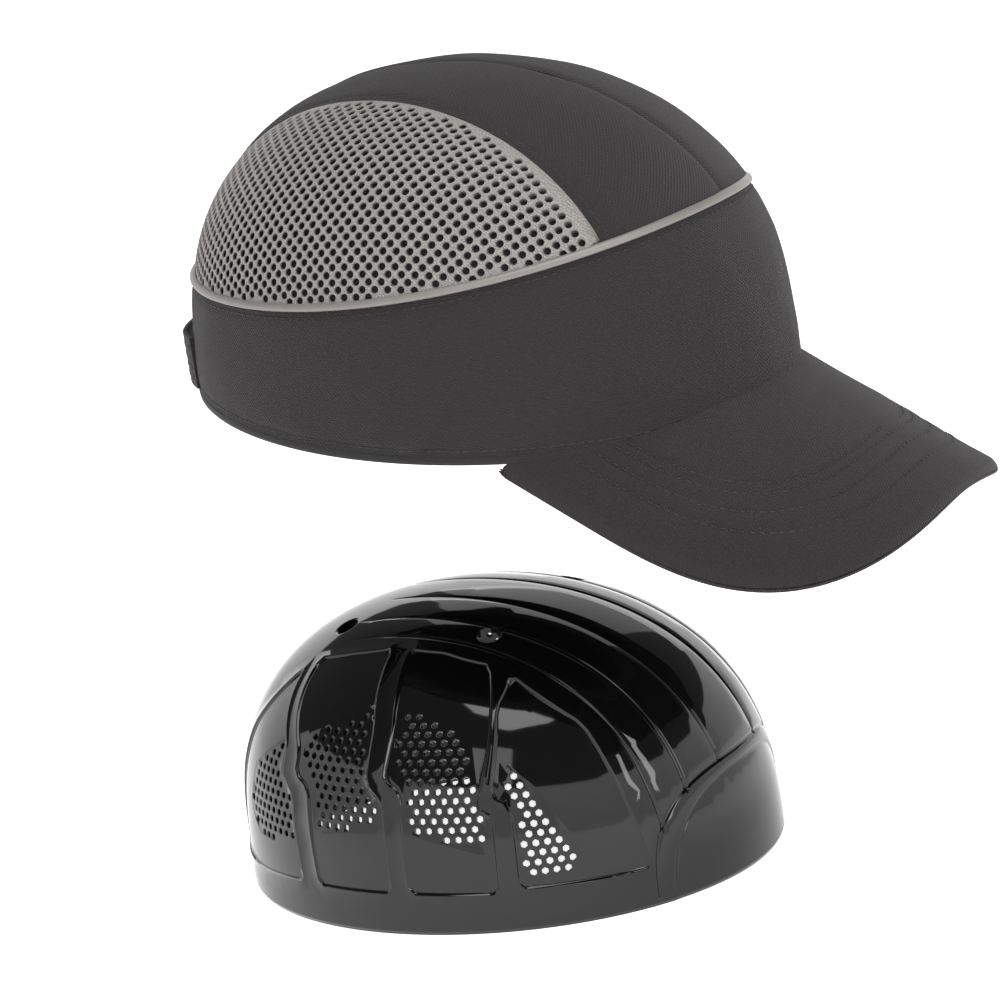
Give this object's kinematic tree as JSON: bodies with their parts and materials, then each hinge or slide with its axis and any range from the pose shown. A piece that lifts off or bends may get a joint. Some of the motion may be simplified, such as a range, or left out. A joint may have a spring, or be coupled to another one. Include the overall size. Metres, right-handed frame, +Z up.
{
  "type": "bump cap",
  "caption": "Fabric baseball-style bump cap with mesh side panels and a stitched brim, and its perforated hard shell insert drawn out below the head opening.",
  "frame": {"origin": "centre of the head opening, where the plane of the band's lower edge crosses the crown's upright axis", "axes": "+X forwards over the brim, +Y to the wearer's left, +Z up through the crown"},
  "size_m": [0.3052, 0.188, 0.2993],
  "materials": {
    "cap_fabric": "charcoal woven polyester cotton twill",
    "air_mesh": "grey knitted spacer mesh",
    "seam_tape": "dark woven binding tape",
    "reflective_tape": "silver reflective piping",
    "sweatband_terry": "dark looped towelling",
    "brim_plastic": "moulded polyethylene board",
    "hook_and_loop": "black hook and loop pile",
    "shell_abs": "glossy moulded black ABS",
    "eva_foam": "matte black EVA foam"
  },
  "bodies": {
    "cap": {"crown_panel_left": "cap_fabric", "crown_panel_right": "cap_fabric", "mesh_panel_left": "air_mesh", "mesh_panel_right": "air_mesh", "crown_seam_tape": "seam_tape", "reflective_piping": "reflective_tape", "side_band": "cap_fabric", "arch_binding": "seam_tape", "sweatband": "sweatband_terry", "edge_binding": "seam_tape", "brim_cover_top": "cap_fabric", "brim_board": "brim_plastic", "brim_cover_under": "cap_fabric", "strap_tab": "cap_fabric", "loop_patch": "hook_and_loop", "strap_anchor": "cap_fabric"},
    "strap": {"closure_strap": "cap_fabric", "hook_patch": "hook_and_loop"},
    "insert": {"hard_shell": "shell_abs", "crown_pad": "eva_foam"}
  },
  "joints": [
    {"name": "closure_strap_hinge", "type": "hinge", "parent": "cap", "child": "strap", "pos_m": [-0.10627, -0.04, 0.0175], "axis": [0, 0, 1], "range_deg": [0, 100]},
    {"name": "insert_slide", "type": "slide", "parent": "cap", "child": "insert", "axis": [0.1219, 0, 0.9925], "range_m": [0, 0.19]}
  ]
}
